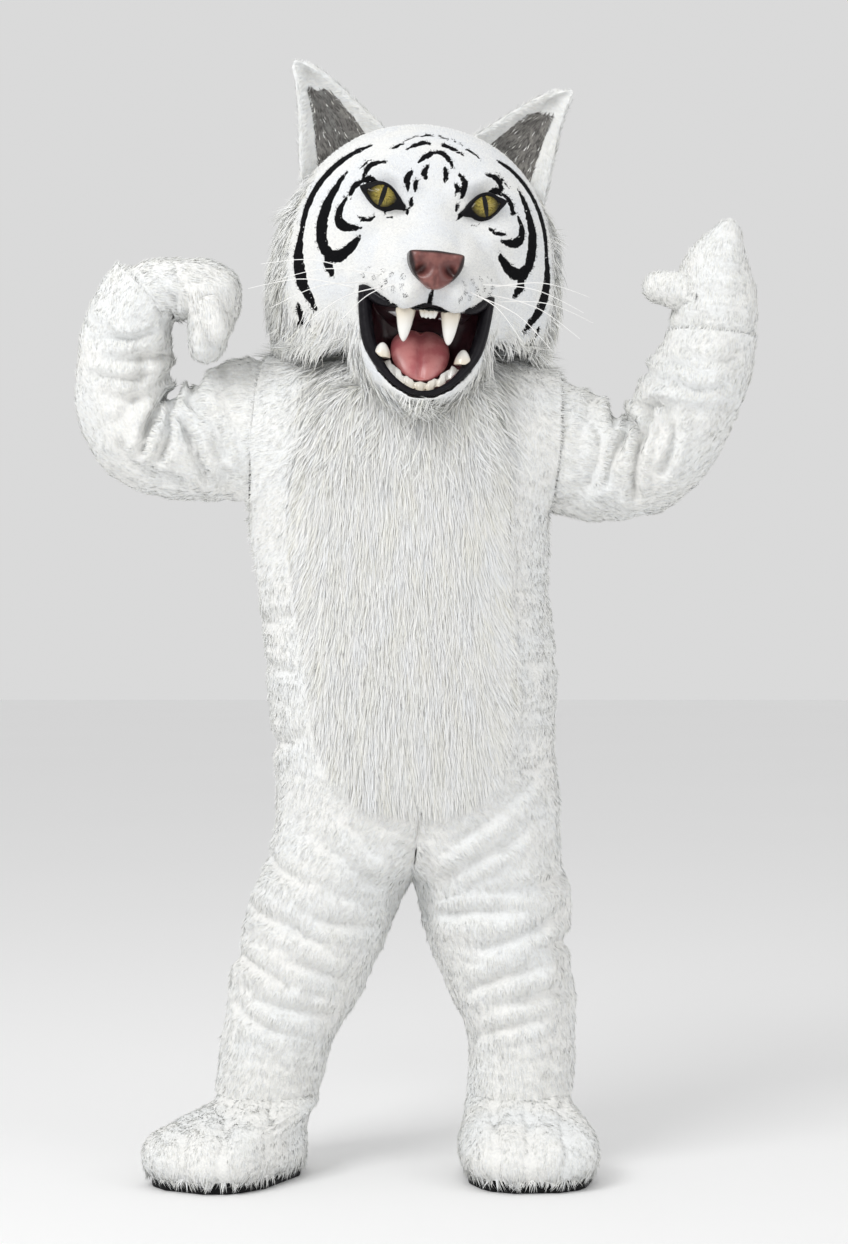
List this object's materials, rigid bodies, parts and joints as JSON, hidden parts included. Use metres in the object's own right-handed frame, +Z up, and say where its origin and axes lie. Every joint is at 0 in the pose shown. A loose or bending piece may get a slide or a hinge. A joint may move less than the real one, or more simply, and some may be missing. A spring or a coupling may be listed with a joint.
{
  "type": "white tiger mascot costume",
  "caption": "Full hollow white plush tiger mascot costume in a flexing pose: suit with long-pile bib, mitts, boots and a big snarling head.",
  "frame": {"origin": "middle of the neck's base between the two shoulder seams, where the wearer's shoulders hold the suit", "axes": "+Z up, the front faces -Y, +X towards the wearer's left hand"},
  "size_m": [1.1961, 0.5389, 1.946],
  "materials": {
    "plush": "short white plush",
    "long_pile": "long creamy white pile",
    "ear_cloth": "short grey plush",
    "nose": "satin moulded nose",
    "lips": "glossy black",
    "mouth": "black moulded lining",
    "tongue": "glossy pink",
    "tooth": "glossy white",
    "eye": "clear glossy",
    "eye_rim": "glossy black",
    "sole_rubber": "matt",
    "whisker": "stiff nylon"
  },
  "bodies": {
    "root": {"body_front_right": "plush", "body_back_right": "plush", "body_front_left": "plush", "body_back_left": "plush", "belly_panel": "long_pile", "sleeve_right": "plush", "mitt_right": "plush", "thumb_right": "plush", "boot_right": "plush", "sole_right": "sole_rubber", "sleeve_left": "plush", "mitt_left": "plush", "thumb_left": "plush", "boot_left": "plush", "sole_left": "sole_rubber", "head_shell": "plush", "head_ruff": "long_pile", "muzzle": "plush", "chin": "plush", "nose": "nose", "lips": "lips", "mouth_lining": "mouth", "tongue": "tongue", "teeth_upper": "tooth", "teeth_lower": "tooth", "ear_right": "plush", "ear_lining_right": "ear_cloth", "eye_right": "eye", "eye_rim_right": "eye_rim", "fang_upper_right": "tooth", "fang_lower_right": "tooth", "whisker_right_1": "whisker", "whisker_right_2": "whisker", "whisker_right_3": "whisker", "whisker_right_4": "whisker", "whisker_right_5": "whisker", "whisker_right_6": "whisker", "ear_left": "plush", "ear_lining_left": "ear_cloth", "eye_left": "eye", "eye_rim_left": "eye_rim", "fang_upper_left": "tooth", "fang_lower_left": "tooth", "whisker_left_1": "whisker", "whisker_left_2": "whisker", "whisker_left_3": "whisker", "whisker_left_4": "whisker", "whisker_left_5": "whisker", "whisker_left_6": "whisker"}
  },
  "joints": []
}
